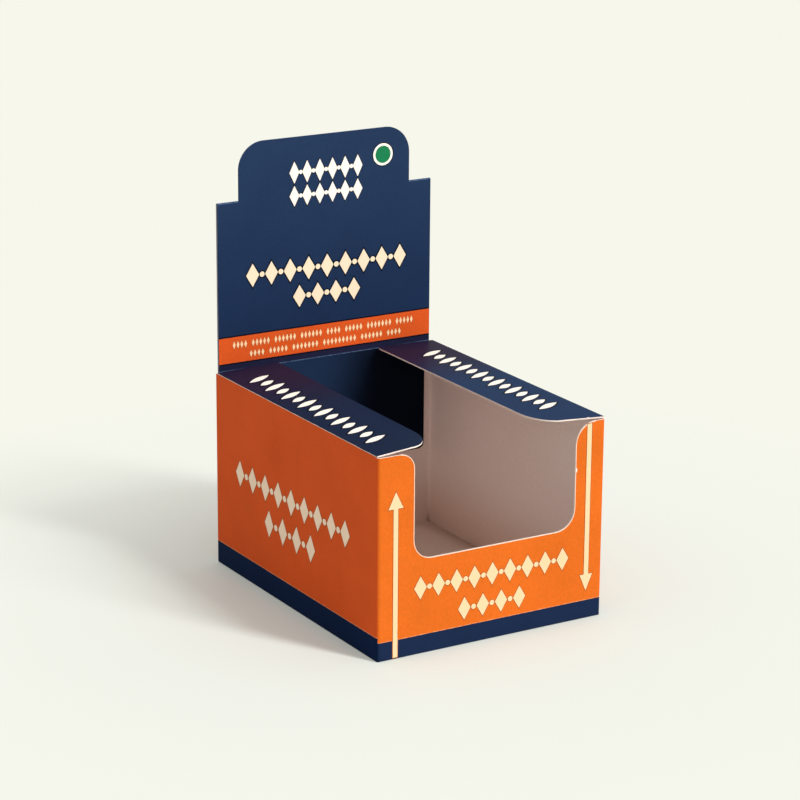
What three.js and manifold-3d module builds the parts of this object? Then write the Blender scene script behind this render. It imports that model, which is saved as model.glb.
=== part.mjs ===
// Counter display box: a folding carton of thin coated board, open at the top, with a cut-out front,
// a doubled header standing up from the back wall and a loose top flap along each side.
// Millimetres. X runs right as seen from the front, Y to the back, Z up.
// The origin is the middle of the footprint, on the surface that the box stands on.

import * as THREE from "three";
import { mergeVertices } from "three/addons/utils/BufferGeometryUtils.js";
import Module from "manifold-3d";

const wasm = await Module();
wasm.setup();

// The board, and how it is folded
const BOARD = 0.6;
const FOLD_RADIUS = 1.8;
const LAYER_GAP = 0.3;
const PLAY = 0.4;

// The box
const BOX_WIDTH = 117;
const BOX_DEPTH = 148;
const WALL_HEIGHT = 92.8;

// The header, its tab and the tuck flap that holds it down behind
const SHOULDER_HEIGHT = 80;
const HEADER_LEFT_INSET = 1;
const HEADER_RIGHT_INSET = 2;
const TAB_HEIGHT = 27;
const TAB_WIDTH = 91;
const TAB_SHIFT = -1;
const TAB_CORNER = 13;
const TUCK_DEPTH = 54;
const TUCK_INSET = 4.5;
const TUCK_CORNER = 3;

// The cut-out in the front wall, whose two posts are of unlike width as die cut
const LEFT_POST = 18.3;
const RIGHT_POST = 15.6;
const SILL_HEIGHT = 43.7;
const LEFT_SILL_CORNER = 9;
const RIGHT_SILL_CORNER = 9.5;
const LEFT_POST_CORNER = 7;
const RIGHT_POST_CORNER = 10;

// The top flaps, whose front edges slant back from the crease to a round nose
const FLAP_WIDTH = 31.5;
const FLAP_FRONT_INSET = 0.8;
const FLAP_TAPER = 3.5;
const FLAP_NOSE_ACROSS = 12.5;
const FLAP_NOSE_ALONG = 18;
const FLAP_REAR_CORNER = 3;

// The glued seam at the back left corner
const SEAM_WIDTH = 14;
const SEAM_MITRE = 3;
const SEAM_STEP = 0.2;

// The three-step locked bottom: a front panel with a tongue, two wings and a back panel with a notch
const CREASE_STRIP = 1.2;
const TONGUE_WIDTH = 40;
const TONGUE_LENGTH = 16;
const TONGUE_CORNER = 6;
const LOCK_PLACE = 16;
const NOTCH_PLAY = 2;
const ARM_LENGTH = 26;
const WING_TAPER = 14;

const ARC_STEPS = 8;
const FOLD_STEPS = 6;

// Taller than the box, for the two outlines that only round its foot
const REACH = 400;

// Places that follow from the sizes above
const left = -BOX_WIDTH / 2;
const right = BOX_WIDTH / 2;
const front = -BOX_DEPTH / 2;
const back = BOX_DEPTH / 2;
const lidTop = WALL_HEIGHT + BOARD;
const shoulderTop = lidTop + SHOULDER_HEIGHT;
const headerFrontBack = back - BOARD - LAYER_GAP;
const headerFrontFace = headerFrontBack - BOARD;
const postTop = WALL_HEIGHT - PLAY;
const headerLeft = left + HEADER_LEFT_INSET;
const headerRight = right - HEADER_RIGHT_INSET;

// Solids

function solid(geometry) {
  const bare = geometry.clone();
  bare.deleteAttribute("normal");
  bare.deleteAttribute("uv");
  const merged = mergeVertices(bare, 1e-4);
  const mesh = new wasm.Mesh({
    numProp: 3,
    vertProperties: Float32Array.from(merged.attributes.position.array),
    triVerts: Uint32Array.from(merged.index.array),
  });
  return new wasm.Manifold(mesh);
}

function join(...solids) {
  return solids.reduce((sum, next) => sum.add(next));
}

function geometryOf(body) {
  const mesh = body.getMesh();
  const geometry = new THREE.BufferGeometry();
  geometry.setAttribute("position", new THREE.BufferAttribute(Float32Array.from(mesh.vertProperties), 3));
  geometry.setIndex(new THREE.BufferAttribute(Uint32Array.from(mesh.triVerts), 1));
  const faceted = geometry.toNonIndexed();
  faceted.computeVertexNormals();
  return faceted;
}

function extrude(shape, depth, steps = ARC_STEPS) {
  return new THREE.ExtrudeGeometry(shape, { depth, bevelEnabled: false, curveSegments: steps });
}

// A plate lying flat: the shape is drawn in X and Y
function flatPlate(shape, bottom, top, steps) {
  return solid(extrude(shape, top - bottom, steps).translate(0, 0, bottom));
}

// A plate standing across the box: the shape is drawn in X and Z
function crossPlate(shape, yFront, yBack, steps) {
  return solid(extrude(shape, yBack - yFront, steps).rotateX(Math.PI / 2).translate(0, yBack, 0));
}

// A bar or plate running across the box from left to right: the section is drawn in Y and Z
function sidePlate(shape, xLeft, xRight, steps) {
  const turn = new THREE.Matrix4().makeBasis(
    new THREE.Vector3(0, 1, 0),
    new THREE.Vector3(0, 0, 1),
    new THREE.Vector3(1, 0, 0),
  );
  return solid(extrude(shape, xRight - xLeft, steps).applyMatrix4(turn).translate(xLeft, 0, 0));
}

// Outlines

function outline(points) {
  return new THREE.Shape(points.map(([x, y]) => new THREE.Vector2(x, y)));
}

function rectangle(x0, y0, x1, y1) {
  return outline([[x0, y0], [x1, y0], [x1, y1], [x0, y1]]);
}

// A quarter turn of arc about (cx, cy), from one angle to another in degrees
function arc(path, cx, cy, radius, fromDegrees, toDegrees) {
  const toRadians = THREE.MathUtils.degToRad;
  path.absarc(cx, cy, radius, toRadians(fromDegrees), toRadians(toDegrees), toDegrees < fromDegrees);
}

// A rectangle whose two corners at its far end (y1) are round
function roundEnded(x0, y0, x1, y1, radius) {
  const shape = new THREE.Shape();
  const inward = Math.sign(y1 - y0) * radius;
  shape.moveTo(x0, y0);
  shape.lineTo(x1, y0);
  shape.lineTo(x1, y1 - inward);
  arc(shape, x1 - radius, y1 - inward, radius, 0, Math.sign(inward) * 90);
  shape.lineTo(x0 + radius, y1);
  arc(shape, x0 + radius, y1 - inward, radius, Math.sign(inward) * 90, Math.sign(inward) * 180);
  return shape;
}

// The walls

// The four walls in plan. Three corners are folds. At the back left corner the left wall's raw edge
// stands outside the back wall's fold, which carries the glued seam.
function wallRing() {
  const inner = FOLD_RADIUS - BOARD;
  const ring = new THREE.Shape();
  ring.moveTo(left, front + FOLD_RADIUS);
  arc(ring, left + FOLD_RADIUS, front + FOLD_RADIUS, FOLD_RADIUS, 180, 270);
  arc(ring, right - FOLD_RADIUS, front + FOLD_RADIUS, FOLD_RADIUS, 270, 360);
  arc(ring, right - FOLD_RADIUS, back - FOLD_RADIUS, FOLD_RADIUS, 0, 90);
  arc(ring, left + 2 * BOARD, back - BOARD, BOARD, 90, 180);
  ring.lineTo(left + BOARD, back - SEAM_STEP);
  ring.lineTo(left, back - SEAM_STEP);
  const room = new THREE.Path();
  const x0 = left + BOARD;
  const x1 = right - BOARD;
  const y0 = front + BOARD;
  const y1 = back - BOARD;
  room.moveTo(x0, y0 + inner);
  arc(room, x0 + inner, y0 + inner, inner, 180, 270);
  arc(room, x1 - inner, y0 + inner, inner, 270, 360);
  arc(room, x1 - inner, y1 - inner, inner, 0, 90);
  room.lineTo(x0, y1);
  ring.holes.push(room);
  return flatPlate(ring, 0, WALL_HEIGHT, FOLD_STEPS);
}

// What is cut from the front wall: the opening over the sill, between posts with round tops
function frontCutOut() {
  const x0 = left + LEFT_POST;
  const x1 = right - RIGHT_POST;
  const cut = new THREE.Shape();
  cut.moveTo(x0 - LEFT_POST_CORNER, postTop);
  arc(cut, x0 - LEFT_POST_CORNER, postTop - LEFT_POST_CORNER, LEFT_POST_CORNER, 90, 0);
  cut.lineTo(x0, SILL_HEIGHT + LEFT_SILL_CORNER);
  arc(cut, x0 + LEFT_SILL_CORNER, SILL_HEIGHT + LEFT_SILL_CORNER, LEFT_SILL_CORNER, 180, 270);
  cut.lineTo(x1 - RIGHT_SILL_CORNER, SILL_HEIGHT);
  arc(cut, x1 - RIGHT_SILL_CORNER, SILL_HEIGHT + RIGHT_SILL_CORNER, RIGHT_SILL_CORNER, 270, 360);
  cut.lineTo(x1, postTop - RIGHT_POST_CORNER);
  arc(cut, x1 + RIGHT_POST_CORNER, postTop - RIGHT_POST_CORNER, RIGHT_POST_CORNER, 180, 90);
  cut.lineTo(x1 + RIGHT_POST_CORNER, WALL_HEIGHT + PLAY);
  cut.lineTo(x0 - LEFT_POST_CORNER, WALL_HEIGHT + PLAY);
  return crossPlate(cut, front - PLAY, front + FOLD_RADIUS);
}

// The strip taken off the top of the front wall, so that the top flaps lie clear over its posts
function postTrim() {
  const strip = rectangle(left - PLAY, postTop, right + PLAY, WALL_HEIGHT + PLAY);
  return crossPlate(strip, front - PLAY, front + FOLD_RADIUS);
}

// The back wall's seam flap, glued inside the left wall, with mitred ends
function seamFlap() {
  const y0 = back - BOARD - SEAM_WIDTH;
  const y1 = back - BOARD / 2;
  const flap = outline([
    [y0, 3 * BOARD + 2 * SEAM_MITRE],
    [y1, 3 * BOARD + SEAM_MITRE],
    [y1, WALL_HEIGHT - SEAM_MITRE],
    [y0, WALL_HEIGHT - 2 * SEAM_MITRE],
  ]);
  return sidePlate(flap, left + BOARD, left + 2 * BOARD);
}

// The header

// The header's section: the rear layer rises from the back wall, turns over at the shoulder and comes
// down as the front layer, which runs on into the box as the tuck flap.
function headerSection() {
  const outer = BOARD + LAYER_GAP / 2;
  const inner = LAYER_GAP / 2;
  const middle = headerFrontBack + inner;
  const turn = shoulderTop - outer;
  const bottom = lidTop - TUCK_DEPTH;
  const section = new THREE.Shape();
  section.moveTo(back, WALL_HEIGHT - BOARD);
  section.lineTo(back, turn);
  arc(section, middle, turn, outer, 0, 180);
  section.lineTo(headerFrontFace, bottom);
  section.lineTo(headerFrontBack, bottom);
  section.lineTo(headerFrontBack, turn);
  arc(section, middle, turn, inner, 180, 0);
  section.lineTo(back - BOARD, WALL_HEIGHT - BOARD);
  return sidePlate(section, headerLeft, headerRight, FOLD_STEPS);
}

// The front layer below the header is narrower, with round corners, where it tucks into the box
function tuckTrim() {
  const bottom = lidTop - TUCK_DEPTH;
  const whole = rectangle(headerLeft - PLAY, bottom - PLAY, headerRight + PLAY, lidTop - BOARD);
  const kept = roundEnded(left + TUCK_INSET, lidTop, right - TUCK_INSET, bottom, TUCK_CORNER);
  const yFront = headerFrontFace - PLAY;
  const yBack = headerFrontBack + LAYER_GAP / 2;
  return crossPlate(whole, yFront, yBack).subtract(crossPlate(kept, yFront - PLAY, yBack + PLAY));
}

// The tab belongs to the front layer. It is cut out of the rear layer, and stays upright when that
// layer folds away behind it, so the rear layer keeps a window of the tab's outline.
function tabOutline(end) {
  const root = shoulderTop - Math.sign(end - shoulderTop) * 2 * BOARD;
  return roundEnded(TAB_SHIFT - TAB_WIDTH / 2, root, TAB_SHIFT + TAB_WIDTH / 2, end, TAB_CORNER);
}

function header() {
  const tab = crossPlate(tabOutline(shoulderTop + TAB_HEIGHT), headerFrontFace, headerFrontBack);
  const window = crossPlate(tabOutline(shoulderTop - TAB_HEIGHT), headerFrontBack, back + PLAY);
  return join(headerSection().subtract(window).subtract(tuckTrim()), tab);
}

// The bottom

// A bottom panel's section, as far as its free edge: a strip at the crease, then a short step up to
// the level at which it lies on the panels folded in after it. The distance runs in from the wall.
function panelSection(level, end) {
  const rise = CREASE_STRIP + Math.max(level, BOARD / 2);
  const slope = BOARD / 2;
  return [
    [BOARD / 2, 0],
    [CREASE_STRIP, 0],
    [rise, level],
    [end, level],
    [end, level + BOARD],
    [rise - slope, level + BOARD],
    [CREASE_STRIP - slope, BOARD],
    [BOARD / 2, BOARD],
  ];
}

function tongueSection() {
  const y0 = LOCK_PLACE - PLAY;
  const y1 = LOCK_PLACE + 3 * BOARD;
  const y2 = y1 + TONGUE_LENGTH;
  return outline([
    [y0, 0],
    [LOCK_PLACE, 0],
    [y1, 3 * BOARD],
    [y2, 3 * BOARD],
    [y2, 4 * BOARD],
    [y1 - BOARD / 2, 4 * BOARD],
    [LOCK_PLACE - BOARD / 2, BOARD],
    [y0, BOARD],
  ]);
}

// The front panel, folded in last, lies lowest. Its tongue rises through the back panel's notch and
// lies on that panel inside the box.
function frontPanel() {
  const inset = CREASE_STRIP + 2 * BOARD;
  const panel = rectangle(left + inset, front + BOARD / 2, right - inset, LOCK_PLACE);
  const tongueEnd = LOCK_PLACE + 3 * BOARD + TONGUE_LENGTH;
  const tip = roundEnded(-TONGUE_WIDTH / 2, 0, TONGUE_WIDTH / 2, tongueEnd, TONGUE_CORNER);
  const tongue = sidePlate(tongueSection(), -TONGUE_WIDTH / 2, TONGUE_WIDTH / 2);
  return join(flatPlate(panel, 0, BOARD), tongue.intersect(flatPlate(tip, 0, 5 * BOARD)));
}

// The two wings lie on the front panel, and taper towards their free edges
function wing(side) {
  const end = BOX_WIDTH / 2 - TONGUE_WIDTH / 2 - NOTCH_PLAY;
  const wall = side * BOX_WIDTH / 2;
  const inset = CREASE_STRIP + 3 * BOARD;
  const section = outline(panelSection(BOARD, end).map(([u, z]) => [wall - side * u, z]));
  const plan = outline([
    [wall, front + inset],
    [wall - side * end, front + inset + WING_TAPER],
    [wall - side * end, back - inset - WING_TAPER],
    [wall, back - inset],
  ]);
  const y0 = front + inset;
  const y1 = back - inset;
  return crossPlate(section, y0, y1).intersect(flatPlate(plan, -BOARD, 5 * BOARD));
}

// The back panel, folded in first, lies on the wings. Its arms reach past the notch.
function backPanel() {
  const inset = CREASE_STRIP + 3 * BOARD;
  const x0 = left + inset;
  const x1 = right - inset;
  const notchEdge = LOCK_PLACE + 2.5 * BOARD + PLAY;
  const armEdge = notchEdge - ARM_LENGTH;
  const notch = TONGUE_WIDTH / 2 + NOTCH_PLAY;
  const section = outline(panelSection(2 * BOARD, BOX_DEPTH).map(([u, z]) => [back - u, z]));
  const plan = outline([
    [x0, back],
    [x0, armEdge],
    [-notch, armEdge],
    [-notch, notchEdge],
    [notch, notchEdge],
    [notch, armEdge],
    [x1, armEdge],
    [x1, back],
  ]);
  return sidePlate(section, x0, x1).intersect(flatPlate(plan, -BOARD, 5 * BOARD));
}

// The fold round the foot of the walls
function footRounding() {
  const across = roundEnded(left, REACH, right, 0, BOARD);
  const along = roundEnded(front, REACH, back, 0, BOARD);
  return crossPlate(across, front - PLAY, back + PLAY, FOLD_STEPS)
    .intersect(sidePlate(along, left - PLAY, right + PLAY, FOLD_STEPS));
}

function carton() {
  const walls = wallRing().subtract(frontCutOut()).subtract(postTrim());
  const bottom = join(frontPanel(), wing(-1), wing(1), backPanel());
  return join(walls, seamFlap(), header(), bottom).intersect(footRounding());
}

// A top flap about its crease. The crease is a half-round edge whose middle is the hinge axis, and it
// bears on the side wall's top edge. Side is -1 on the left and 1 on the right.
function topFlap(side) {
  const half = BOARD / 2;
  const y0 = front + FLAP_FRONT_INSET;
  const y1 = headerFrontFace - PLAY;
  const reach = FLAP_WIDTH - half;
  const section = new THREE.Shape();
  section.moveTo(reach, -half);
  section.lineTo(reach, half);
  arc(section, 0, 0, half, 90, 270);
  const noseX = reach - FLAP_NOSE_ACROSS;
  const noseY = y0 + FLAP_TAPER + FLAP_NOSE_ALONG;
  const plan = new THREE.Shape();
  plan.moveTo(-BOARD, y1);
  plan.lineTo(-BOARD, y0);
  plan.lineTo(0, y0);
  plan.absellipse(noseX, noseY, FLAP_NOSE_ACROSS, FLAP_NOSE_ALONG, -Math.PI / 2, 0, false);
  plan.lineTo(reach, y1 - FLAP_REAR_CORNER);
  arc(plan, reach - FLAP_REAR_CORNER, y1 - FLAP_REAR_CORNER, FLAP_REAR_CORNER, 0, 90);
  const flap = crossPlate(section, y0, y1, FOLD_STEPS)
    .intersect(flatPlate(plan, -BOARD, BOARD, ARC_STEPS));
  return side < 0 ? flap : flap.mirror([1, 0, 0]);
}

// The assembly

const print = { roughness: 0.35, metalness: 0 };
const orangeBoard = new THREE.MeshStandardMaterial({ color: 0xd9582a, ...print });
const navyBoard = new THREE.MeshStandardMaterial({ color: 0x1f3556, ...print });

function piece(name, body, material) {
  const mesh = new THREE.Mesh(geometryOf(body), material);
  mesh.name = name;
  return mesh;
}

const display = new THREE.Group();
display.add(piece("carton", carton(), orangeBoard));

for (const [name, side] of [["left_top_flap", -1], ["right_top_flap", 1]]) {
  const flap = piece(name, topFlap(side), navyBoard);
  flap.position.set(side * (BOX_WIDTH / 2 - BOARD / 2), 0, WALL_HEIGHT + BOARD / 2);
  display.add(flap);
}

export default display;
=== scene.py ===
import math

import bmesh
import bpy
from mathutils import Matrix, Vector


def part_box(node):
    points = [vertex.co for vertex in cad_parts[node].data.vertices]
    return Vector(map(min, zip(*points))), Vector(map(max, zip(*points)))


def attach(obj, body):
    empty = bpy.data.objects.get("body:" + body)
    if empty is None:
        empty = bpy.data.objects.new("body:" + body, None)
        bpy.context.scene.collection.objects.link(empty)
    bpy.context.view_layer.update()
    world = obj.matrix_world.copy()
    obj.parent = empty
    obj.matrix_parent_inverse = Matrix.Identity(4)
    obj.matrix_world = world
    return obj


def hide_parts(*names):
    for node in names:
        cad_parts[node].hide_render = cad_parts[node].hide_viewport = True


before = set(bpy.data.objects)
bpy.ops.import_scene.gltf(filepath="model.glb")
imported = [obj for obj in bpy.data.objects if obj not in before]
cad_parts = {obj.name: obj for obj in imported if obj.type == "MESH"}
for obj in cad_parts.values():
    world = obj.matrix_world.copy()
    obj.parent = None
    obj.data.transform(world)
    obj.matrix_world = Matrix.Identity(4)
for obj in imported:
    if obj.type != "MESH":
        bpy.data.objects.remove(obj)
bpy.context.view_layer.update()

# A counter display box folded from one sheet of coated carton board. The sheet's shape, the header and
# the hinged top flaps come from the frame. This script gives the board its printed face, its bare face,
# its raw cut edges, its creases and its print, and the light that it stands in. Lengths are metres.

MM = 0.001

# Places read from the frame
CARTON_LOW, CARTON_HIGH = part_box("carton")
FLAP_LOW, FLAP_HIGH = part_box("left_top_flap")
LEFT = CARTON_LOW.x
RIGHT = CARTON_HIGH.x
FRONT = CARTON_LOW.y
BACK = CARTON_HIGH.y
FLAP_TOP = FLAP_HIGH.z
WALL_TOP = FLAP_LOW.z
BOARD = FLAP_TOP - WALL_TOP
FLAP_WIDTH = FLAP_HIGH.x - FLAP_LOW.x
FLAP_LENGTH = FLAP_HIGH.y - FLAP_LOW.y

# The sheet's other sizes, as folded
LAYER_GAP = 0.3 * MM
FOLD_RADIUS = 1.8 * MM
SEAM_STEP = 0.2 * MM
HEADER_FACE = BACK - 2 * BOARD - LAYER_GAP
HEADER_MIDDLE = -0.5 * MM
SHOULDER = FLAP_TOP + 80 * MM
SHOULDER_FOLD = 1.2 * MM
BELOW_TUCK = 30 * MM
ABOVE_BOTTOM = 4.2 * BOARD

# The cut-out in the front wall
CUT_LEFT = LEFT + 18.3 * MM
CUT_RIGHT = RIGHT - 15.6 * MM
SILL = 43.7 * MM
POST_TOP = WALL_TOP - 0.4 * MM
LEFT_SILL_CORNER = 9 * MM
RIGHT_SILL_CORNER = 9.5 * MM
LEFT_POST_CORNER = 7 * MM
RIGHT_POST_CORNER = 10 * MM
RIM_WIDTH = 0.32 * MM

# Wear: a nick at the right post's inner edge, with its height on the post, how far its middle is from the
# edge, and its two sizes. The nicks at the right flap's front edge have a place each, as the distance from
# the box's middle towards the front and that from the crease.
NICK_HEIGHT = 71 * MM
NICK_MIDDLE = 0.5 * MM
POST_NICK = (0.9 * MM, 2.4 * MM)
FLAP_NICK = (0.7 * MM, 1.8 * MM)
FLAP_NICKS = ((71.4 * MM, 12.2 * MM), (71.6 * MM, 8 * MM))

# Printed fields: the navy band at the foot of each wall and the header's orange band, with the thin
# lines where the two inks meet
FRONT_BAND = 8.7 * MM
SIDE_BAND = 11 * MM
FOOT_LINE = 0.28 * MM
HEADER_BAND_LOW = FLAP_TOP + 3.2 * MM
HEADER_BAND_HIGH = FLAP_TOP + 16.2 * MM
HEADER_LINE = 0.35 * MM
CREASE_LOW = FLAP_TOP - 0.15 * MM
CREASE_HIGH = FLAP_TOP + 0.3 * MM

# Ink lies on the board in layers thinner than paper: outlines lowest, then motifs, then what is on them
INK_ROOT = 0.05 * MM
OUTLINE_INK = 0.04 * MM
INK = 0.08 * MM
TOP_INK = 0.12 * MM

# The strip along a flap's hinge line that its crease has pressed thinner, and where the grid cuts past it
CREASED_WIDTH = 1.3 * MM
CREASE_SQUEEZE = 0.9
PAST_CREASE = 1.25 * CREASED_WIDTH

# How far the loose flaps stand off at their free edges, at the front and at the back
LEFT_FLAP_LIFT = (0.1 * MM, 1.0 * MM)
RIGHT_FLAP_LIFT = (0.5 * MM, 0.7 * MM)

# How finely the sheet is cut up, which corners are folds, and how near counts as the same place
GRID = 12 * MM
FLAT_ANGLE = math.radians(0.5)
SMOOTH_ANGLE = math.radians(40)
EDGE_REACH = 1 * MM
NEAR = 0.05 * MM
WELD = 1e-7

# How much of a normal along an axis makes its face look that way
BARELY = 0.05
PARTLY = 0.3
MAINLY = 0.5
ALMOST_ALL = 0.9

# The sizes of the patterns in the board and its print. Real fibres, about 0.02 mm wide, are too fine to
# show here, so the grains are drawn as coarse as they need to show.
PRINT_GRAIN = 0.8 * MM
INK_CLOUD = 24 * MM
INSIDE_GRAIN = 1.2 * MM
EDGE_GRAIN = 0.4 * MM
CRACK_GRAIN = 2.6 * MM
RUB_GRAIN = 1.6 * MM
NOISE_RANGE = {"From Min": 0.3, "From Max": 0.7}

# Colours, as sRGB hex
ORANGE = "DC6A21"
SHADED_ORANGE = "DB5723"
HEADER_ORANGE = "D55522"
NAVY = "243654"
LOW_NAVY = "1A2B49"
FOOT_NAVY = "1E2038"
SHADED_LEFT_FLAP_NAVY = "17243C"
LIT_RIGHT_FLAP_NAVY = "132D50"
REFLECTED_ORANGE_NAVY = "251D35"
TUCK_NAVY = "1B2C47"
TUCK_SHADE = "0A111F"
BAND_NAVY = "1A2946"
SHADED_BAND_NAVY = "061C3E"
DARK_EDGE = "2C3C58"
WORN_AND_HIGHLIGHT_NAVY = "5A6F8E"
CREAM = "F8D0A2"
HEADER_CREAM = "F3DDBF"
LIT_SIDE_CREAM = "FFE4C8"
WHITE_INK = "FFF3E6"
GREEN = "1F7A4D"
DEEP_NAVY = "0A101E"
BROWN = "A8521C"
LIGHT_LINE = "F3A878"
INSIDE = "F5E6DF"
INSIDE_LOW_SHADE = "E3C9BA"
RAW_EDGE = "F6E6DC"
CRUSHED_RIM = "F8D6BC"
PALE_FLOOR = "F7F7EC"


def linear(hex_colour, level=1.0):
    """An sRGB hex colour as linear RGBA, made lighter or darker by a level."""
    values = [int(hex_colour[i:i + 2], 16) / 255 for i in (0, 2, 4)]
    light = [v / 12.92 if v <= 0.04045 else ((v + 0.055) / 1.055) ** 2.4 for v in values]
    return tuple(level * v for v in light) + (1.0,)


# Materials


def node(tree, kind, settings=None, links=None):
    """Adds a node. Settings are its own values, or its sockets' by name, and links join sockets to it."""
    made = tree.nodes.new(kind)
    for key, value in (settings or {}).items():
        if isinstance(key, int) or key in made.inputs:
            made.inputs[key].default_value = value
        else:
            setattr(made, key, value)
    for key, source in (links or {}).items():
        tree.links.new(source, made.inputs[key])
    return made


def new_material(name):
    material = bpy.data.materials.new(name)
    material.use_nodes = True
    material.node_tree.nodes.clear()
    return material, material.node_tree


def finish_material(tree, shader):
    node(tree, "ShaderNodeOutputMaterial", links={"Surface": shader.outputs[0]})


def blended(tree, place, first, second, axis, start, end):
    """One colour that turns into another along an axis, from a start place to an end place."""
    along = node(tree, "ShaderNodeSeparateXYZ", links={"Vector": place}).outputs[axis]
    share = node(tree, "ShaderNodeMapRange",
                 {"interpolation_type": "SMOOTHSTEP", "From Min": start, "From Max": end},
                 {"Value": along}).outputs["Result"]
    return node(tree, "ShaderNodeMix", {"data_type": "RGBA", 6: linear(first), 7: linear(second)},
                {0: share}).outputs[2]


def uneven_colour(tree, place, hex_colour, blend, noise, low, high):
    """A colour made lighter and darker by a noise, between two levels. A blend gives the colour that it
    turns into, the axis, and the two places between which it turns."""
    level = node(tree, "ShaderNodeMapRange", {**NOISE_RANGE, "To Min": low, "To Max": high},
                 {"Value": noise}).outputs["Result"]
    scaled = node(tree, "ShaderNodeVectorMath", {"operation": "SCALE", 0: linear(hex_colour)[:3]},
                  {"Scale": level})
    if blend:
        tree.links.new(blended(tree, place, hex_colour, *blend), scaled.inputs[0])
    return scaled.outputs[0]


def coated_print(name, hex_colour, mottle=0.12, blend=None):
    """Offset ink under a water-based coating. It looks satin, with faint mottle from the board's grain."""
    material, tree = new_material(name)
    place = node(tree, "ShaderNodeTexCoord").outputs["Object"]
    grain = node(tree, "ShaderNodeTexNoise", {"Scale": 1 / PRINT_GRAIN, "Detail": 3.0, "Roughness": 0.6},
                 {"Vector": place}).outputs["Fac"]
    cloud = node(tree, "ShaderNodeTexNoise", {"Scale": 1 / INK_CLOUD, "Detail": 2.0},
                 {"Vector": place}).outputs["Fac"]
    both = node(tree, "ShaderNodeMix", {"Factor": 0.4}, {"A": grain, "B": cloud}).outputs["Result"]
    colour = uneven_colour(tree, place, hex_colour, blend, both, 1 - mottle, 1 + mottle)
    gloss = node(tree, "ShaderNodeMapRange", {**NOISE_RANGE, "To Min": 0.4, "To Max": 0.52},
                 {"Value": grain}).outputs["Result"]
    bump = node(tree, "ShaderNodeBump", {"Strength": 0.15, "Distance": 0.05 * MM}, {"Height": grain})
    shader = node(tree, "ShaderNodeBsdfPrincipled", {"IOR": 1.45, "Specular IOR Level": 0.02},
                  {"Base Color": colour, "Roughness": gloss, "Normal": bump.outputs["Normal"]})
    finish_material(tree, shader)
    return material


def bare_board(name, hex_colour, grain_size, strength, blend=None):
    """Uncoated carton board. It looks matt and warm white, with the soft grain of its fibres."""
    material, tree = new_material(name)
    place = node(tree, "ShaderNodeTexCoord").outputs["Object"]
    fibre = node(tree, "ShaderNodeTexNoise", {"Scale": 1 / grain_size, "Detail": 4.0, "Roughness": 0.65},
                 {"Vector": place}).outputs["Fac"]
    colour = uneven_colour(tree, place, hex_colour, blend, fibre, 0.96, 1.03)
    bump = node(tree, "ShaderNodeBump", {"Strength": strength, "Distance": 0.08 * MM}, {"Height": fibre})
    shader = node(tree, "ShaderNodeBsdfPrincipled",
                  {"IOR": 1.45, "Specular IOR Level": 0.1, "Roughness": 0.85},
                  {"Base Color": colour, "Normal": bump.outputs["Normal"]})
    finish_material(tree, shader)
    return material


def cracked_crease_and_shadow(name):
    """Print that a crease has cracked. It shows orange below and navy above, and bare fibre along a
    ragged line between them. A near-black band just above the bare line is painted shadow in the crease."""
    material, tree = new_material(name)
    place = node(tree, "ShaderNodeTexCoord").outputs["Object"]
    height = node(tree, "ShaderNodeSeparateXYZ", links={"Vector": place}).outputs["Z"]
    ragged = node(tree, "ShaderNodeTexNoise", {"Scale": 1 / CRACK_GRAIN, "Detail": 5.0, "Roughness": 0.7},
                  {"Vector": place}).outputs["Fac"]
    shift = node(tree, "ShaderNodeMapRange", {**NOISE_RANGE, "To Min": -0.12 * MM, "To Max": 0.12 * MM},
                 {"Value": ragged}).outputs["Result"]
    level = node(tree, "ShaderNodeMath", {"operation": "ADD"}, {0: height, 1: shift}).outputs[0]
    share = node(tree, "ShaderNodeMapRange", {"From Min": WALL_TOP, "From Max": FLAP_TOP},
                 {"Value": level}).outputs["Result"]
    ramp = node(tree, "ShaderNodeValToRGB", links={"Fac": share})
    stops = ramp.color_ramp.elements
    stops.remove(stops[1])
    stops[0].color = linear(ORANGE)
    for position, colour in ((0.10, RAW_EDGE), (0.42, RAW_EDGE), (0.52, DEEP_NAVY), (0.8, SHADED_LEFT_FLAP_NAVY)):
        stops.new(position).color = linear(colour)
    shader = node(tree, "ShaderNodeBsdfPrincipled",
                  {"IOR": 1.45, "Specular IOR Level": 0.08, "Roughness": 0.6},
                  {"Base Color": ramp.outputs["Color"]})
    finish_material(tree, shader)
    return material


def worn_print(name, hex_colour, bare_colour, bare_share):
    """Print rubbed thin along a fold. It shows some of a paler colour in specks. On the header's
    upward-facing edges and shoulder fold, the paler navy is painted highlight.
    """
    material, tree = new_material(name)
    place = node(tree, "ShaderNodeTexCoord").outputs["Object"]
    specks = node(tree, "ShaderNodeTexNoise", {"Scale": 1 / RUB_GRAIN, "Detail": 5.0, "Roughness": 0.75},
                  {"Vector": place}).outputs["Fac"]
    share = node(tree, "ShaderNodeMapRange",
                 {"From Min": 0.4, "From Max": 0.62, "To Min": 0.15 * bare_share, "To Max": bare_share},
                 {"Value": specks}).outputs["Result"]
    colour = node(tree, "ShaderNodeMix",
                  {"data_type": "RGBA", 6: linear(hex_colour), 7: linear(bare_colour)}, {0: share})
    shader = node(tree, "ShaderNodeBsdfPrincipled",
                  {"IOR": 1.45, "Specular IOR Level": 0.08, "Roughness": 0.55},
                  {"Base Color": colour.outputs[2]})
    finish_material(tree, shader)
    return material


# Orange and navy fields. The header's is redder, and the walls away from the light are redder and darker.
ORANGE_PRINT = coated_print("orange_print", ORANGE)
SHADED_ORANGE_PRINT = coated_print("shaded_orange_print", SHADED_ORANGE)
HEADER_ORANGE_PRINT = coated_print("header_orange_print", HEADER_ORANGE)
BAND_PRINT = coated_print("band_navy_print", BAND_NAVY)
SHADED_BAND_PRINT = coated_print("shaded_band_navy_print", SHADED_BAND_NAVY)
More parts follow.
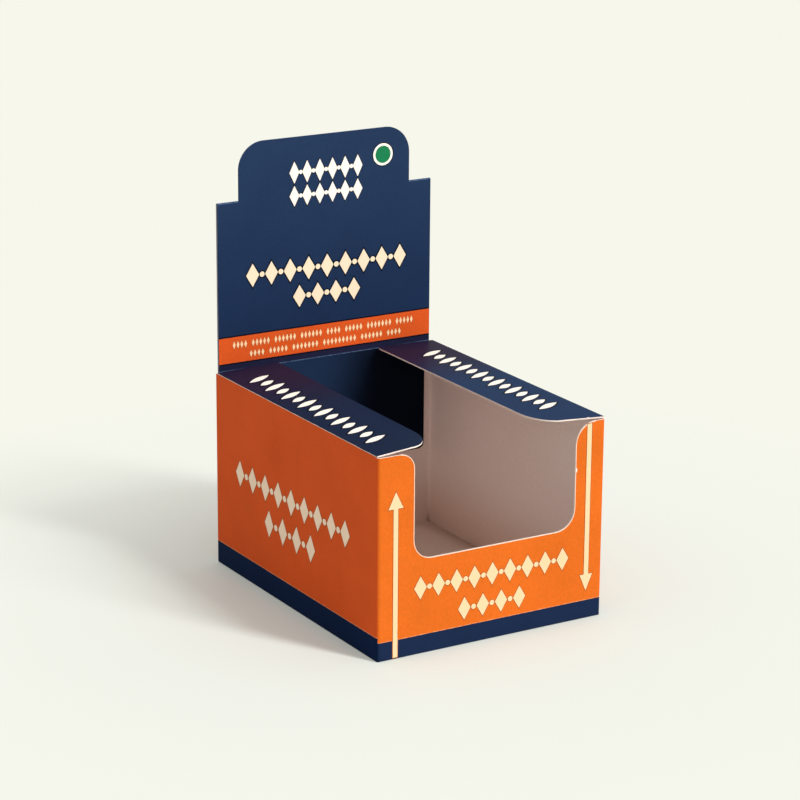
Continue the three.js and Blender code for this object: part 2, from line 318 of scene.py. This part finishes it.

# Navy that gets lighter up the header. On the tuck flap it turns near-black towards the right: painted
# shade.
# On the flaps it turns a little purple towards the back: a painted reflection of the header's orange band.
NAVY_PRINT = coated_print("navy_print", LOW_NAVY, blend=(NAVY, "Z", FLAP_TOP, CARTON_HIGH.z))
FOOT_PRINT = coated_print("header_foot_print", FOOT_NAVY)
TUCK_PRINT_AND_SHADE = coated_print("tuck_navy_print_painted_shade", TUCK_NAVY, blend=(TUCK_SHADE, "X", -8 * MM, 30 * MM))
FLAP_PAINTED_REFLECTION = (REFLECTED_ORANGE_NAVY, "Y", BACK - 80 * MM, BACK - 20 * MM)
# The two flaps carry one navy ink. The left flap's darker navy is painted shade, and the right flap's bluer,
# lighter navy is painted light.
LEFT_FLAP_PRINT_AND_LIGHT = coated_print("left_flap_navy_print_painted_light", SHADED_LEFT_FLAP_NAVY, blend=FLAP_PAINTED_REFLECTION)
RIGHT_FLAP_PRINT_AND_LIGHT = coated_print("right_flap_navy_print_painted_light", LIT_RIGHT_FLAP_NAVY, blend=FLAP_PAINTED_REFLECTION)

# Thick, even inks of the motifs and their outlines
CREAM_PRINT = coated_print("cream_print", CREAM, mottle=0.04)
HEADER_CREAM_PRINT = coated_print("header_cream_print", HEADER_CREAM, mottle=0.04)
# The left wall's cream is paler than the front's, so its rows show as bright on the shaded wall: painted
# light.
LIT_SIDE_CREAM_PRINT = coated_print("side_cream_print_painted_light", LIT_SIDE_CREAM, mottle=0.04)
WHITE_PRINT = coated_print("white_print", WHITE_INK, mottle=0.02)
GREEN_PRINT = coated_print("green_print", GREEN)
DEEP_PRINT = coated_print("deep_navy_print", DEEP_NAVY)
BROWN_PRINT = coated_print("brown_print", BROWN)

# Print worn along folds and where two inks meet, with the worn navy also standing as painted highlight on
# the header's upward-facing edges, and the board's bare side, cut edges and crushed rim
LINE_PRINT = worn_print("light_line_print", ORANGE, LIGHT_LINE, 1.0)
WORN_FOLD_AND_HIGHLIGHT = worn_print("worn_navy_fold_and_highlight", NAVY, WORN_AND_HIGHLIGHT_NAVY, 0.7)
CREASE = cracked_crease_and_shadow("cracked_crease_and_shadow")
# The inside board turns darker and browner towards the bottom, from 40 mm down: painted shade.
INSIDE_BOARD_AND_SHADE = bare_board("inside_board_painted_shade", INSIDE_LOW_SHADE, INSIDE_GRAIN, 0.1, (INSIDE, "Z", 0, 40 * MM))
CUT_EDGE = bare_board("cut_edge", RAW_EDGE, EDGE_GRAIN, 0.2)
# The header's cut edges that face sideways or down are a dark navy-grey, not the bare board's colour.
DARK_NAVY_EDGE = bare_board("dark_navy_edge", DARK_EDGE, EDGE_GRAIN, 0.2)
RIM = bare_board("crushed_rim", CRUSHED_RIM, EDGE_GRAIN, 0.2)

CARTON_FINISHES = {
    "orange": ORANGE_PRINT,
    "shaded orange": SHADED_ORANGE_PRINT,
    "navy": NAVY_PRINT,
    "foot band": BAND_PRINT,
    "shaded foot band": SHADED_BAND_PRINT,
    "header foot": FOOT_PRINT,
    "inside": INSIDE_BOARD_AND_SHADE,
    "cut edge": CUT_EDGE,
    "foot line": LINE_PRINT,
    "dark navy edge": DARK_NAVY_EDGE,
    "tuck": TUCK_PRINT_AND_SHADE,
    "worn fold and highlight": WORN_FOLD_AND_HIGHLIGHT,
    "header orange": HEADER_ORANGE_PRINT,
    "dark line": DEEP_PRINT,
}

# The board


def add_to_scene(name, data):
    added = bpy.data.objects.new(name, data)
    bpy.context.scene.collection.objects.link(added)
    return added


def sheet_mesh(source):
    """A working copy of a node's mesh, with its flat faces whole again."""
    bm = bmesh.new()
    bm.from_mesh(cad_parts[source].data)
    bmesh.ops.remove_doubles(bm, verts=bm.verts, dist=WELD)
    bmesh.ops.dissolve_limit(bm, angle_limit=FLAT_ANGLE, verts=bm.verts, edges=bm.edges)
    return bm


def cut_grid(bm, extra):
    """Cuts the sheet along a grid and at the given places, so that it can bend and change colour."""
    for axis in range(3):
        low = min(v.co[axis] for v in bm.verts)
        high = max(v.co[axis] for v in bm.verts)
        count = max(1, round((high - low) / GRID))
        places = [low + (high - low) * i / count for i in range(1, count)] + extra.get(axis, [])
        normal = Vector([1.0 if i == axis else 0.0 for i in range(3)])
        for place in places:
            geometry = bm.verts[:] + bm.edges[:] + bm.faces[:]
            bmesh.ops.bisect_plane(bm, geom=geometry, plane_co=normal * place, plane_no=normal, dist=WELD)


def give_finishes(bm, finishes, finish_of):
    """Gives each face the finish that a function names for it."""
    bm.normal_update()
    names = list(finishes)
    for face in bm.faces:
        face.material_index = names.index(finish_of(face))


def finish_piece(bm, name, materials, body, replaced=None):
    """Turns a working mesh into a piece of the scene that rides on a body."""
    mesh = bpy.data.meshes.new(name)
    bm.normal_update()
    bm.to_mesh(mesh)
    bm.free()
    for material in materials:
        mesh.materials.append(material)
    piece = add_to_scene(name, mesh)
    for polygon in mesh.polygons:
        polygon.use_smooth = True
    mesh.set_sharp_from_angle(angle=SMOOTH_ANGLE)
    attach(piece, body)
    if replaced:
        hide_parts(replaced)


def header_finish(z):
    """The finish on the header's front at that height, down to the end of the tuck flap."""
    if z < CREASE_LOW:
        return "tuck"
    if z < CREASE_HIGH:
        return "worn fold and highlight"
    if abs(z - HEADER_BAND_LOW) < HEADER_LINE or abs(z - HEADER_BAND_HIGH) < HEADER_LINE:
        return "dark line"
    if z < HEADER_BAND_LOW:
        return "header foot"
    return "header orange" if z < HEADER_BAND_HIGH else "navy"


def wall_finish(c):
    """The finish on the outside of a wall at that place. A corner fold has that of the nearer wall."""
    if c.z > WALL_TOP + NEAR:
        return "navy"
    on_side = abs(c.x) - RIGHT > max(abs(c.y) - BACK, -EDGE_REACH)
    band = SIDE_BAND if on_side else FRONT_BAND
    if band < c.z < band + FOOT_LINE:
        return "foot line"
    finish = "foot band" if c.z < band else "orange"
    in_shade = c.x < LEFT + FOLD_RADIUS if on_side else c.y > 0
    return "shaded " + finish if in_shade else finish


def is_outside(c, n):
    """Whether a face belongs to the walls' outer side, folds included."""
    corner = FOLD_RADIUS + NEAR
    on_left = c.x < LEFT + corner and n.x < -BARELY
    on_right = c.x > RIGHT - corner and n.x > BARELY
    on_front = c.y < FRONT + corner and n.y < -BARELY
    on_back = c.y > BACK - corner and n.y > BARELY
    level_edge = abs(n.z) > MAINLY and c.z > BOARD
    return (on_left or on_right or on_front or on_back) and not level_edge


def is_cut_edge(c, n):
    """Whether a face lies across the board's thickness: along the walls' tops, in the front's cut-out,
    along the header and its tuck flap, or along the bottom panels."""
    wall_top = n.z > MAINLY and WALL_TOP - EDGE_REACH < c.z < WALL_TOP + NEAR
    cut_out = c.y < FRONT + BOARD + NEAR and abs(n.y) < MAINLY and c.z > SILL - EDGE_REACH
    header = c.y > HEADER_FACE + NEAR and abs(n.y) < MAINLY and c.z > BELOW_TUCK
    bottom = c.z < ABOVE_BOTTOM and abs(n.z) < PARTLY and abs(c.x) < RIGHT - 2 * BOARD
    return wall_top or cut_out or header or bottom


def carton_finish(face):
    """The name of the finish on a face of the carton."""
    c = face.calc_center_median()
    n = face.normal
    if n.y < -MAINLY and abs(c.y - HEADER_FACE) < NEAR:
        return header_finish(c.z)
    if c.z > WALL_TOP + NEAR:
        # Upward-facing faces of the shoulder fold and of the header's top cut edges get the worn navy:
        # painted highlight.
        if n.z > PARTLY and SHOULDER - SHOULDER_FOLD < c.z < SHOULDER + NEAR:
            return "worn fold and highlight"
        if abs(n.y) < MAINLY:
            return "worn fold and highlight" if n.z > PARTLY else "dark navy edge"
        if n.y > MAINLY and BACK - c.y > NEAR:
            return "inside"
    if n.y > ALMOST_ALL and abs(c.y - BACK + SEAM_STEP) < NEAR and c.x < LEFT + BOARD + NEAR:
        return "cut edge"
    if is_outside(c, n):
        return wall_finish(c)
    if c.z < NEAR and n.z < -MAINLY:
        return "foot band"
    return "cut edge" if is_cut_edge(c, n) else "inside"


def dress_carton():
    bm = sheet_mesh("carton")
    heights = [FRONT_BAND, FRONT_BAND + FOOT_LINE, SIDE_BAND, SIDE_BAND + FOOT_LINE,
               HEADER_BAND_LOW - HEADER_LINE, HEADER_BAND_LOW + HEADER_LINE,
               HEADER_BAND_HIGH - HEADER_LINE, HEADER_BAND_HIGH + HEADER_LINE,
               CREASE_LOW, CREASE_HIGH]
    cut_grid(bm, {2: heights})
    give_finishes(bm, CARTON_FINISHES, carton_finish)
    finish_piece(bm, "carton_board", CARTON_FINISHES.values(), "box", "carton")


def squeezed(point):
    """A point of a top flap, drawn a little towards the hinge line where the crease has pressed the
    board."""
    edge = min(point.x - LEFT, RIGHT - point.x)
    if edge > CREASED_WIDTH:
        return point
    hinge = math.copysign(RIGHT - 0.5 * BOARD, point.x)
    across = point.x - hinge
    if edge < 0.5 * BOARD:
        across *= CREASE_SQUEEZE
    middle = 0.5 * (WALL_TOP + FLAP_TOP)
    return Vector((hinge + across, point.y, middle + CREASE_SQUEEZE * (point.z - middle)))


def lifted(point, lift):
    """A point of a top flap, with the small rise of its free edge."""
    inward = (min(point.x - LEFT, RIGHT - point.x) - CREASED_WIDTH) / FLAP_WIDTH
    along = (point.y - FLAP_LOW.y) / FLAP_LENGTH
    rise = lift[0] + (lift[1] - lift[0]) * along
    return point + Vector((0, 0, rise * max(0.0, inward)))


def flap_finish(face):
    """The name of the finish on a face of a top flap."""
    c = face.calc_center_median()
    n = face.normal
    if min(c.x - LEFT, RIGHT - c.x) < 0.5 * BOARD and abs(n.y) < MAINLY:
        return "crease"
    if n.z > MAINLY:
        return "print"
    return "inside" if n.z < -MAINLY else "cut edge"


def dress_flap(source, name, body, lift, ink):
    bm = sheet_mesh(source)
    cut_grid(bm, {0: [LEFT + PAST_CREASE, RIGHT - PAST_CREASE]})
    finishes = {"print": ink, "inside": INSIDE_BOARD_AND_SHADE, "cut edge": CUT_EDGE, "crease": CREASE}
    give_finishes(bm, finishes, flap_finish)
    for vertex in bm.verts:
        vertex.co = lifted(squeezed(vertex.co), lift)
    finish_piece(bm, name, finishes.values(), body, source)


dress_carton()
dress_flap("left_top_flap", "left_flap_board", "left_flap", LEFT_FLAP_LIFT, LEFT_FLAP_PRINT_AND_LIGHT)
dress_flap("right_top_flap", "right_flap_board", "right_flap", RIGHT_FLAP_LIFT, RIGHT_FLAP_PRINT_AND_LIGHT)

# The print. A motif is a flat outline in a panel's own two directions, and a panel's place function
# turns a point of it, with a height above the board, into a place on the box.

# A dot's radius as a share of a lozenge's width, a fine lozenge's width as a share of its step, the least
# cosine at a corner of an outline that grows, and the corners round a disc
DOT_SHARE = 0.19
FINE_SHARE = 0.74
TIP_LIMIT = 0.45
DISC_CORNERS = 48

# The leaves down a flap: how many, their width, their heights in turn, their lean, and the room that they
# leave at the line's two ends together
LEAF_COUNT = 15
LEAF_WIDTH = 4.4 * MM
LEAF_HEIGHTS = (13 * MM, 8.6 * MM)
LEAF_LEAN = 0.42
LEAF_ROOM = 6 * MM


def header_place(u, v, w):
    return Vector((HEADER_MIDDLE + u, HEADER_FACE - w, v))


def front_place(u, v, w):
    return Vector((u, FRONT - w, v))


def left_place(u, v, w):
    return Vector((LEFT - w, -u, v))


def left_flap_place(u, v, w):
    return lifted(Vector((LEFT + v, u, FLAP_TOP + w)), LEFT_FLAP_LIFT)


def right_flap_place(u, v, w):
    return lifted(Vector((RIGHT - v, -u, FLAP_TOP + w)), RIGHT_FLAP_LIFT)


def lozenge(u, v, width, height):
    return [(u - width / 2, v), (u, v - height / 2), (u + width / 2, v), (u, v + height / 2)]


def disc(u, v, radius, steps=32):
    turns = [2 * math.pi * i / steps for i in range(steps)]
    return [(u + radius * math.cos(t), v + radius * math.sin(t)) for t in turns]


def leaf(u, v, width, height, lean, steps=10):
    """A pointed leaf: two bowed sides that meet in a tip at each end, leaning to one side."""
    rise = [-1 + 2 * i / steps for i in range(steps + 1)]
    right = [(width / 2 * (1 - t * t), height / 2 * t) for t in rise]
    left = [(-x, y) for x, y in reversed(right[1:-1])]
    return [(u + x + lean * y, v + y) for x, y in right + left]


def arrow(u, tail, tip, shaft, head_width, head_length):
    """A straight arrow along v, from tail to tip, with a shaft of that width."""
    base = tip - math.copysign(head_length, tip - tail)
    return [(u - shaft / 2, tail), (u + shaft / 2, tail), (u + shaft / 2, base), (u + head_width / 2, base),
            (u, tip), (u - head_width / 2, base), (u - shaft / 2, base)]


def quarter(u, v, radius, start, turn, steps=8):
    """A quarter circle's points, from a start angle in degrees. A turn of -1 goes clockwise."""
    angles = [math.radians(start) + turn * math.pi / 2 * i / steps for i in range(steps + 1)]
    return [(u + radius * math.cos(a), v + radius * math.sin(a)) for a in angles]


def grown(points, margin):
    """The outline moved outward by a margin, with the longest tips cut short."""
    area = sum(a[0] * b[1] - b[0] * a[1] for a, b in zip(points, points[1:] + points[:1]))
    side = math.copysign(margin, area)
    moved = []
    for i, point in enumerate(points):
        before = Vector(point) - Vector(points[i - 1])
        after = Vector(points[(i + 1) % len(points)]) - Vector(point)
        normals = [Vector((d.y, -d.x)).normalized() for d in (before, after)]
        middle = (normals[0] + normals[1]).normalized()
        reach = side / max(TIP_LIMIT, middle.dot(normals[0]))
        moved.append((point[0] + middle.x * reach, point[1] + middle.y * reach))
    return moved


def spaced(middle, width, count):
    return [middle + width * (i / (count - 1) - 0.5) for i in range(count)]


def lozenge_row(u, v, width, height, count, lozenge_width):
    """A line of tall lozenges with a dot between each two. Width is the whole line's."""
    places = spaced(u, width - lozenge_width, count)
    dots = [disc((a + b) / 2, v, DOT_SHARE * lozenge_width) for a, b in zip(places, places[1:])]
    return [lozenge(place, v, lozenge_width, height) for place in places] + dots


def fine_line(u, v, width, height, groups):
    """A line of fine lozenges in groups. Width is the whole line's."""
    step = width / (sum(groups) + len(groups) - 1)
    place = u - width / 2 + step / 2
    outlines = []
    for count in groups:
        for i in range(count):
            outlines.append(lozenge(place, v, FINE_SHARE * step, height))
            place += step
        place += step
    return outlines


class Print:
    """One panel's print: thin solid layers of ink, gathered into one piece."""

    def __init__(self, place):
        self.bm = bmesh.new()
        self.place = place
        self.materials = []

    def layer(self, points, height, material):
        if material not in self.materials:
            self.materials.append(material)
        index = self.materials.index(material)
        low = [self.bm.verts.new(self.place(u, v, -INK_ROOT)) for u, v in points]
        high = [self.bm.verts.new(self.place(u, v, height)) for u, v in points]
        count = len(points)
        sides = [(low[i], low[(i + 1) % count], high[(i + 1) % count], high[i]) for i in range(count)]
        for corners in [high, low[::-1]] + sides:
            self.bm.faces.new(corners).material_index = index

    def motifs(self, outlines, material, outline_material, outline_width):
        for points in outlines:
            self.layer(grown(points, outline_width), OUTLINE_INK, outline_material)
        for points in outlines:
            self.layer(points, INK, material)

    def finish(self, name, body, slot):
        bmesh.ops.recalc_face_normals(self.bm, faces=self.bm.faces)
        finish_piece(self.bm, name, self.materials, body)


def print_header():
    """White rows and a green disc on the tab, large cream rows, and two fine lines on the orange band."""
    sheet = Print(header_place)
    white = lozenge_row(u=0, v=183.7 * MM, width=39 * MM, height=10.5 * MM, count=6, lozenge_width=5.2 * MM)
    white += lozenge_row(u=0, v=172.6 * MM, width=39 * MM, height=9.8 * MM, count=6, lozenge_width=5.2 * MM)
    sheet.motifs(white, WHITE_PRINT, DEEP_PRINT, outline_width=0.35 * MM)
    large = lozenge_row(u=0.5 * MM, v=137.6 * MM, width=86 * MM, height=11.2 * MM, count=9,
                        lozenge_width=6.8 * MM)
    large += lozenge_row(u=0.3 * MM, v=124.6 * MM, width=36.2 * MM, height=10.7 * MM, count=4,
                         lozenge_width=6.8 * MM)
    sheet.motifs(large, HEADER_CREAM_PRINT, DEEP_PRINT, outline_width=0.6 * MM)
    fine = fine_line(u=-1.1 * MM, v=105.4 * MM, width=98 * MM, height=3.6 * MM,
                     groups=(4, 5, 6, 6, 4, 5, 7, 5))
    fine += fine_line(u=0, v=100.3 * MM, width=82.5 * MM, height=3.4 * MM, groups=(4, 5, 7, 9, 6, 4))
    sheet.motifs(fine, CREAM_PRINT, BROWN_PRINT, outline_width=0.14 * MM)
    disc_u, disc_v, disc_radius = 30.6 * MM, 187.5 * MM, 5.7 * MM
    rings = ((1, OUTLINE_INK, DEEP_PRINT), (0.93, INK, WHITE_PRINT), (0.72, TOP_INK, GREEN_PRINT))
    for share, height, ink in rings:
        sheet.layer(disc(disc_u, disc_v, share * disc_radius, steps=DISC_CORNERS), height, ink)
    sheet.finish("header_print", "box", "printed_carton_board")


def print_left_wall():
    sheet = Print(left_place)
    rows = lozenge_row(u=-2.2 * MM, v=50.5 * MM, width=105 * MM, height=12.5 * MM, count=9,
                       lozenge_width=8 * MM)
    rows += lozenge_row(u=-3.7 * MM, v=34.2 * MM, width=46.6 * MM, height=12.9 * MM, count=4,
                        lozenge_width=8 * MM)
    sheet.motifs(rows, LIT_SIDE_CREAM_PRINT, BROWN_PRINT, outline_width=0.35 * MM)
    sheet.finish("left_wall_print", "box", "printed_carton_board")


def print_front():
    """Cream rows below the cut-out, and a long arrow at each side: up on the left, down on the right."""
    sheet = Print(front_place)
    cream = lozenge_row(u=0, v=30.5 * MM, width=80.2 * MM, height=10.6 * MM, count=9, lozenge_width=6.4 * MM)
    cream += lozenge_row(u=0, v=16.9 * MM, width=35 * MM, height=10.5 * MM, count=4, lozenge_width=6.4 * MM)
    cream.append(arrow(u=-49.5 * MM, tail=0.8 * MM, tip=76.2 * MM, shaft=2.3 * MM, head_width=7.5 * MM,
                       head_length=7.6 * MM))
    cream.append(arrow(u=49.9 * MM, tail=POST_TOP - 0.9 * MM, tip=13.3 * MM, shaft=2.4 * MM,
                       head_width=6.8 * MM, head_length=7.7 * MM))
    sheet.motifs(cream, CREAM_PRINT, BROWN_PRINT, outline_width=0.3 * MM)
    sheet.finish("front_print", "box", "printed_carton_board")


def print_flap(name, body, place, start, end, middle, nicks=()):
    """A line of leaning leaves down a flap, large and small in turn, and nicks in the flap's edge."""
    sheet = Print(place)
    places = spaced((start + end) / 2, end - start - LEAF_ROOM, LEAF_COUNT)
    leaves = [leaf(u, middle, LEAF_WIDTH, LEAF_HEIGHTS[i % 2], LEAF_LEAN) for i, u in enumerate(places)]
    sheet.motifs(leaves, WHITE_PRINT, DEEP_PRINT, outline_width=0.8 * MM)
    for u, v in nicks:
        sheet.layer(lozenge(u, v, *FLAP_NICK), INK, CUT_EDGE)
    sheet.finish(name, body, "navy_carton_board")


def rim_cut_out():
    """The narrow bare line along the front's cut-out, where the die has crushed the coating, and a nick."""
    path = quarter(CUT_LEFT - LEFT_POST_CORNER, POST_TOP - LEFT_POST_CORNER, LEFT_POST_CORNER, 90, -1)
    path += quarter(CUT_LEFT + LEFT_SILL_CORNER, SILL + LEFT_SILL_CORNER, LEFT_SILL_CORNER, 180, 1)
    path += quarter(CUT_RIGHT - RIGHT_SILL_CORNER, SILL + RIGHT_SILL_CORNER, RIGHT_SILL_CORNER, 270, 1)
    path += quarter(CUT_RIGHT + RIGHT_POST_CORNER, POST_TOP - RIGHT_POST_CORNER, RIGHT_POST_CORNER, 180, -1)
    outer = []
    for i, point in enumerate(path):
        along = Vector(path[min(i + 1, len(path) - 1)]) - Vector(path[max(i - 1, 0)])
        across = Vector((along.y, -along.x)).normalized() * RIM_WIDTH
        outer.append((point[0] + across.x, point[1] + across.y))
    sheet = Print(front_place)
    for a, b, c, d in zip(path, path[1:], outer[1:], outer):
        sheet.layer([a, b, c, d], OUTLINE_INK, RIM)
    sheet.layer(lozenge(CUT_RIGHT + NICK_MIDDLE, NICK_HEIGHT, *POST_NICK), INK, CUT_EDGE)
    sheet.finish("cut_out_rim", "box", "printed_carton_board")


print_header()
print_left_wall()
print_front()
rim_cut_out()
print_flap("left_flap_print", "left_flap", left_flap_place, start=-55 * MM, end=56 * MM, middle=11.5 * MM)
print_flap("right_flap_print", "right_flap", right_flap_place, start=-54 * MM, end=51 * MM,
           middle=13.5 * MM, nicks=FLAP_NICKS)

# Camera, light and floor

# The camera's side, height and roll in degrees, its distance and target, and its lens and sensor in
# millimetres, all fitted to the photo's view
CAMERA_AZIMUTH = -31.087
CAMERA_ELEVATION = 16.7003
CAMERA_ROLL = 0.4168
CAMERA_DISTANCE = 1297.1 * MM
CAMERA_LENS = 130.89
CAMERA_SENSOR = 36
CAMERA_TARGET = Vector((-12.92, -16.0, 96.57)) * MM

# One tall narrow light from the front right, as a row of lamps one over the other: each one's elevation
# and its share of the light. The sky fills in, from a level at the horizon to one overhead.
KEY_AZIMUTH = 28
KEY_LAMPS = ((15, 0.7), (25, 0.8), (35, 1.0), (45, 1.3), (55, 1.4))
KEY_STRENGTH = 0.178 * math.pi
KEY_SPREAD = math.radians(9)
FILL_LOW = 0.45
FILL_HIGH = 0.75

# The floor near the box shows its shadow, and past the fade it looks like the background. Its share of
# the light and its own lift make the lit floor as pale as the background.
FLOOR_HALF = 6.0
FLOOR_GAP = 0.05 * MM
FLOOR_SHARE = 0.69
FLOOR_LIFT = 0.145
FLOOR_TONE = (0.955, 1.0, 1.025)
FLOOR_FADE = (80 * MM, 330 * MM)


def direction(azimuth, elevation):
    """The way from the box to what is seen from it there, in degrees: 0 is straight in front and 90 to
    the right."""
    a = math.radians(azimuth)
    e = math.radians(elevation)
    return Vector((math.sin(a) * math.cos(e), -math.cos(a) * math.cos(e), math.sin(e)))


def make_camera():
    back = direction(CAMERA_AZIMUTH, CAMERA_ELEVATION)
    level_right = Vector((0, 0, 1)).cross(back).normalized()
    level_up = back.cross(level_right)
    roll = math.radians(CAMERA_ROLL)
    right = level_right * math.cos(roll) + level_up * math.sin(roll)
    up = back.cross(right)
    place = CAMERA_TARGET + back * CAMERA_DISTANCE
    data = bpy.data.cameras.new("camera")
    data.lens = CAMERA_LENS
    data.sensor_width = CAMERA_SENSOR
    camera = add_to_scene("camera", data)
    camera.matrix_world = Matrix((
        (right.x, up.x, back.x, place.x),
        (right.y, up.y, back.y, place.y),
        (right.z, up.z, back.z, place.z),
        (0, 0, 0, 1),
    ))
    bpy.context.scene.camera = camera


def sun(name, azimuth, elevation, strength):
    """A lamp far off, seen from the box at that azimuth and elevation."""
    data = bpy.data.lights.new(name, "SUN")
    data.energy = strength
    data.angle = KEY_SPREAD
    lamp = add_to_scene(name, data)
    lamp.rotation_euler = direction(azimuth, elevation).to_track_quat("Z", "Y").to_euler()


def seen_directly(tree):
    """1 for what the camera, a gloss or a clear piece sees, 0 for light on its way to a surface."""
    rays = node(tree, "ShaderNodeLightPath").outputs
    seen = node(tree, "ShaderNodeMath", {"operation": "MAXIMUM"},
                {0: rays["Is Camera Ray"], 1: rays["Is Glossy Ray"]}).outputs[0]
    return node(tree, "ShaderNodeMath", {"operation": "MAXIMUM"},
                {0: seen, 1: rays["Is Transmission Ray"]}).outputs[0]


def floor_material():
    """A pale matt counter. It shows as evenly pale, and keeps the shadow close to the box."""
    material, tree = new_material("pale_floor")
    seen = seen_directly(tree)
    near_colour = [tone * level for tone, level in zip(FLOOR_TONE, linear(PALE_FLOOR, FLOOR_SHARE))] + [1.0]
    diffuse = node(tree, "ShaderNodeBsdfDiffuse", {"Color": near_colour})
    lift = node(tree, "ShaderNodeEmission", {"Color": linear(PALE_FLOOR), "Strength": FLOOR_LIFT})
    none = node(tree, "ShaderNodeEmission", {"Strength": 0.0})
    shown = node(tree, "ShaderNodeMixShader", links={0: seen, 1: none.outputs[0], 2: lift.outputs[0]})
    near = node(tree, "ShaderNodeAddShader", links={0: diffuse.outputs[0], 1: shown.outputs[0]})
    far = node(tree, "ShaderNodeEmission", {"Color": linear(PALE_FLOOR), "Strength": 1.0})
    place = node(tree, "ShaderNodeTexCoord").outputs["Object"]
    reach = node(tree, "ShaderNodeVectorMath", {"operation": "LENGTH"}, {0: place}).outputs["Value"]
    away = node(tree, "ShaderNodeMapRange", {"From Min": FLOOR_FADE[0], "From Max": FLOOR_FADE[1]},
                {"Value": reach}).outputs["Result"]
    fade = node(tree, "ShaderNodeMath", {"operation": "MULTIPLY"}, {0: away, 1: seen}).outputs[0]
    both = node(tree, "ShaderNodeMixShader", links={0: fade, 1: near.outputs[0], 2: far.outputs[0]})
    finish_material(tree, both)
    return material


def make_floor():
    bm = bmesh.new()
    corners = ((-1, -1), (1, -1), (1, 1), (-1, 1))
    bm.faces.new([bm.verts.new((x * FLOOR_HALF, y * FLOOR_HALF, -FLOOR_GAP)) for x, y in corners])
    mesh = bpy.data.meshes.new("floor")
    bm.to_mesh(mesh)
    bm.free()
    mesh.materials.append(floor_material())
    add_to_scene("floor", mesh)


def make_world():
    """A soft sky, brighter overhead than at the horizon, that shows as the floor's own colour."""
    world = bpy.data.worlds.new("studio")
    bpy.context.scene.world = world
    world.use_nodes = True
    tree = world.node_tree
    tree.nodes.clear()
    place = node(tree, "ShaderNodeTexCoord").outputs["Generated"]
    height = node(tree, "ShaderNodeSeparateXYZ", links={"Vector": place}).outputs["Z"]
    level = node(tree, "ShaderNodeMapRange",
                 {"From Min": 0.0, "From Max": 1.0, "To Min": FILL_LOW, "To Max": FILL_HIGH},
                 {"Value": height}).outputs["Result"]
    fill = node(tree, "ShaderNodeBackground", {"Color": (1, 1, 1, 1)}, {"Strength": level})
    shown = node(tree, "ShaderNodeBackground", {"Color": linear(PALE_FLOOR), "Strength": 1.0})
    mixed = node(tree, "ShaderNodeMixShader",
                 links={0: seen_directly(tree), 1: fill.outputs[0], 2: shown.outputs[0]})
    node(tree, "ShaderNodeOutputWorld", links={"Surface": mixed.outputs[0]})


make_camera()
for elevation, share in KEY_LAMPS:
    sun("key_lamp_%d" % elevation, KEY_AZIMUTH, elevation, share * KEY_STRENGTH)
make_floor()
make_world()
bpy.context.scene.view_settings.view_transform = "Standard"
